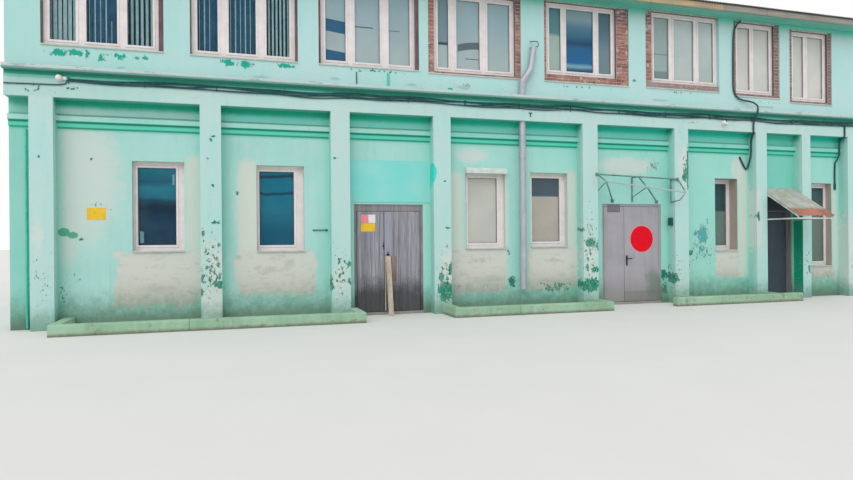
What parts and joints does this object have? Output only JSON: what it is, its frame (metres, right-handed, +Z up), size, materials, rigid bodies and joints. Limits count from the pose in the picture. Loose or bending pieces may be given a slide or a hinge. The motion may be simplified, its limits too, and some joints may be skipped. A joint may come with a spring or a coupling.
{
  "type": "factory building",
  "caption": "Two-storey factory building with a pilastered ground floor, a ledge, window rows, hinged doors, canopies and a low gable roof.",
  "frame": {"origin": "middle of the flat base, halfway between the bay walls and between the end walls", "axes": "+X to the right along the facade, -Y out of the facade, +Z up"},
  "size_m": [18.225, 10.74, 7.8812],
  "materials": {
    "bay_plaster": "weathered painted plaster, flaking",
    "pilaster_plaster": "weathered painted plaster, flaking",
    "upper_plaster": "painted plaster",
    "ledge_plaster": "dusty painted plaster",
    "moulding_plaster": "painted plaster",
    "concrete": "bare concrete",
    "kerb_concrete": "painted concrete, worn",
    "brick": "bare red brick with mortar",
    "ceiling_boards": "whitewashed",
    "roof_sheet": "corrugated, weathered",
    "eaves_boards": "bare weathered boards",
    "soffit_boards": "painted boards",
    "window_plastic": "satin white",
    "window_glass": "clear, dark behind",
    "sill_metal": "painted sheet",
    "door_wood": "bare grey boards",
    "prop_wood": "bare pale board",
    "panel_paint": "bright turquoise paint",
    "door_steel": "grey paint, dusty",
    "handle_metal": "dark, worn",
    "side_door_paint": "dark slate paint",
    "side_frame_wood": "dark bare wood",
    "canopy_steel": "painted bars, worn",
    "canopy_sheet": "galvanised sheet with a rusty front strip",
    "bracket_steel": "dull steel",
    "pipe_metal": "dull galvanised",
    "lamp_plastic": "glossy white",
    "cable_sheath": "matt dark",
    "switch_plastic": "dark green"
  },
  "bodies": {
    "building": {"ground_floor": "concrete", "upper_floor": "concrete", "ceiling": "ceiling_boards", "front_wall": "bay_plaster", "door_head_walls": "bay_plaster", "back_wall": "bay_plaster", "left_end_wall": "upper_plaster", "right_end_wall": "upper_plaster", "pilasters": "pilaster_plaster", "facade_beams": "pilaster_plaster", "ledges": "ledge_plaster", "bay_mouldings": "moulding_plaster", "upper_front_wall": "upper_plaster", "upper_back_wall": "upper_plaster", "front_roof": "roof_sheet", "back_roof": "roof_sheet", "ridge_cap": "roof_sheet", "fascias": "eaves_boards", "verge_boards": "eaves_boards", "soffits": "soffit_boards", "front_ground_frames": "window_plastic", "front_ground_panes": "window_glass", "front_upper_frames": "window_plastic", "front_upper_panes": "window_glass", "back_frames": "window_plastic", "back_panes": "window_glass", "window_sills": "sill_metal", "brick_infill": "brick", "window_hood": "lamp_plastic", "wood_door_frame": "door_wood", "transom_panel": "panel_paint", "steel_door_frame": "door_steel", "side_door_frame": "side_frame_wood", "canopy_frame": "canopy_steel", "side_canopy_sheet": "canopy_sheet", "side_canopy_brackets": "bracket_steel", "downpipe": "pipe_metal", "wall_lamps": "lamp_plastic", "cable_bundle": "cable_sheath", "switch_box": "switch_plastic", "kerb_fronts": "kerb_concrete", "kerb_returns": "kerb_concrete"},
    "wood_left_door": {"wood_left_leaf": "door_wood"},
    "wood_right_door": {"wood_right_leaf": "door_wood", "prop_board": "prop_wood"},
    "steel_side_door": {"steel_side_leaf": "door_steel"},
    "steel_main_door": {"steel_main_leaf": "door_steel", "steel_door_handle": "handle_metal"},
    "side_door": {"side_door_leaf": "side_door_paint"}
  },
  "joints": [
    {"name": "wood_left_hinge", "type": "hinge", "parent": "building", "child": "wood_left_door", "pos_m": [-3.2285, -4.487, 1], "axis": [0, 0, -1], "range_deg": [0, 90]},
    {"name": "wood_right_hinge", "type": "hinge", "parent": "building", "child": "wood_right_door", "pos_m": [-1.9765, -4.487, 1], "axis": [0, 0, 1], "range_deg": [0, 80]},
    {"name": "steel_side_hinge", "type": "hinge", "parent": "building", "child": "steel_side_door", "pos_m": [2.1115, -4.487, 1], "axis": [0, 0, -1], "range_deg": [0, 90]},
    {"name": "steel_main_hinge", "type": "hinge", "parent": "building", "child": "steel_main_door", "pos_m": [3.4835, -4.487, 1], "axis": [0, 0, 1], "range_deg": [0, 70]},
    {"name": "side_hinge", "type": "hinge", "parent": "building", "child": "side_door", "pos_m": [6.3715, -4.386, 1], "axis": [0, 0, 1], "range_deg": [0, 90]}
  ]
}
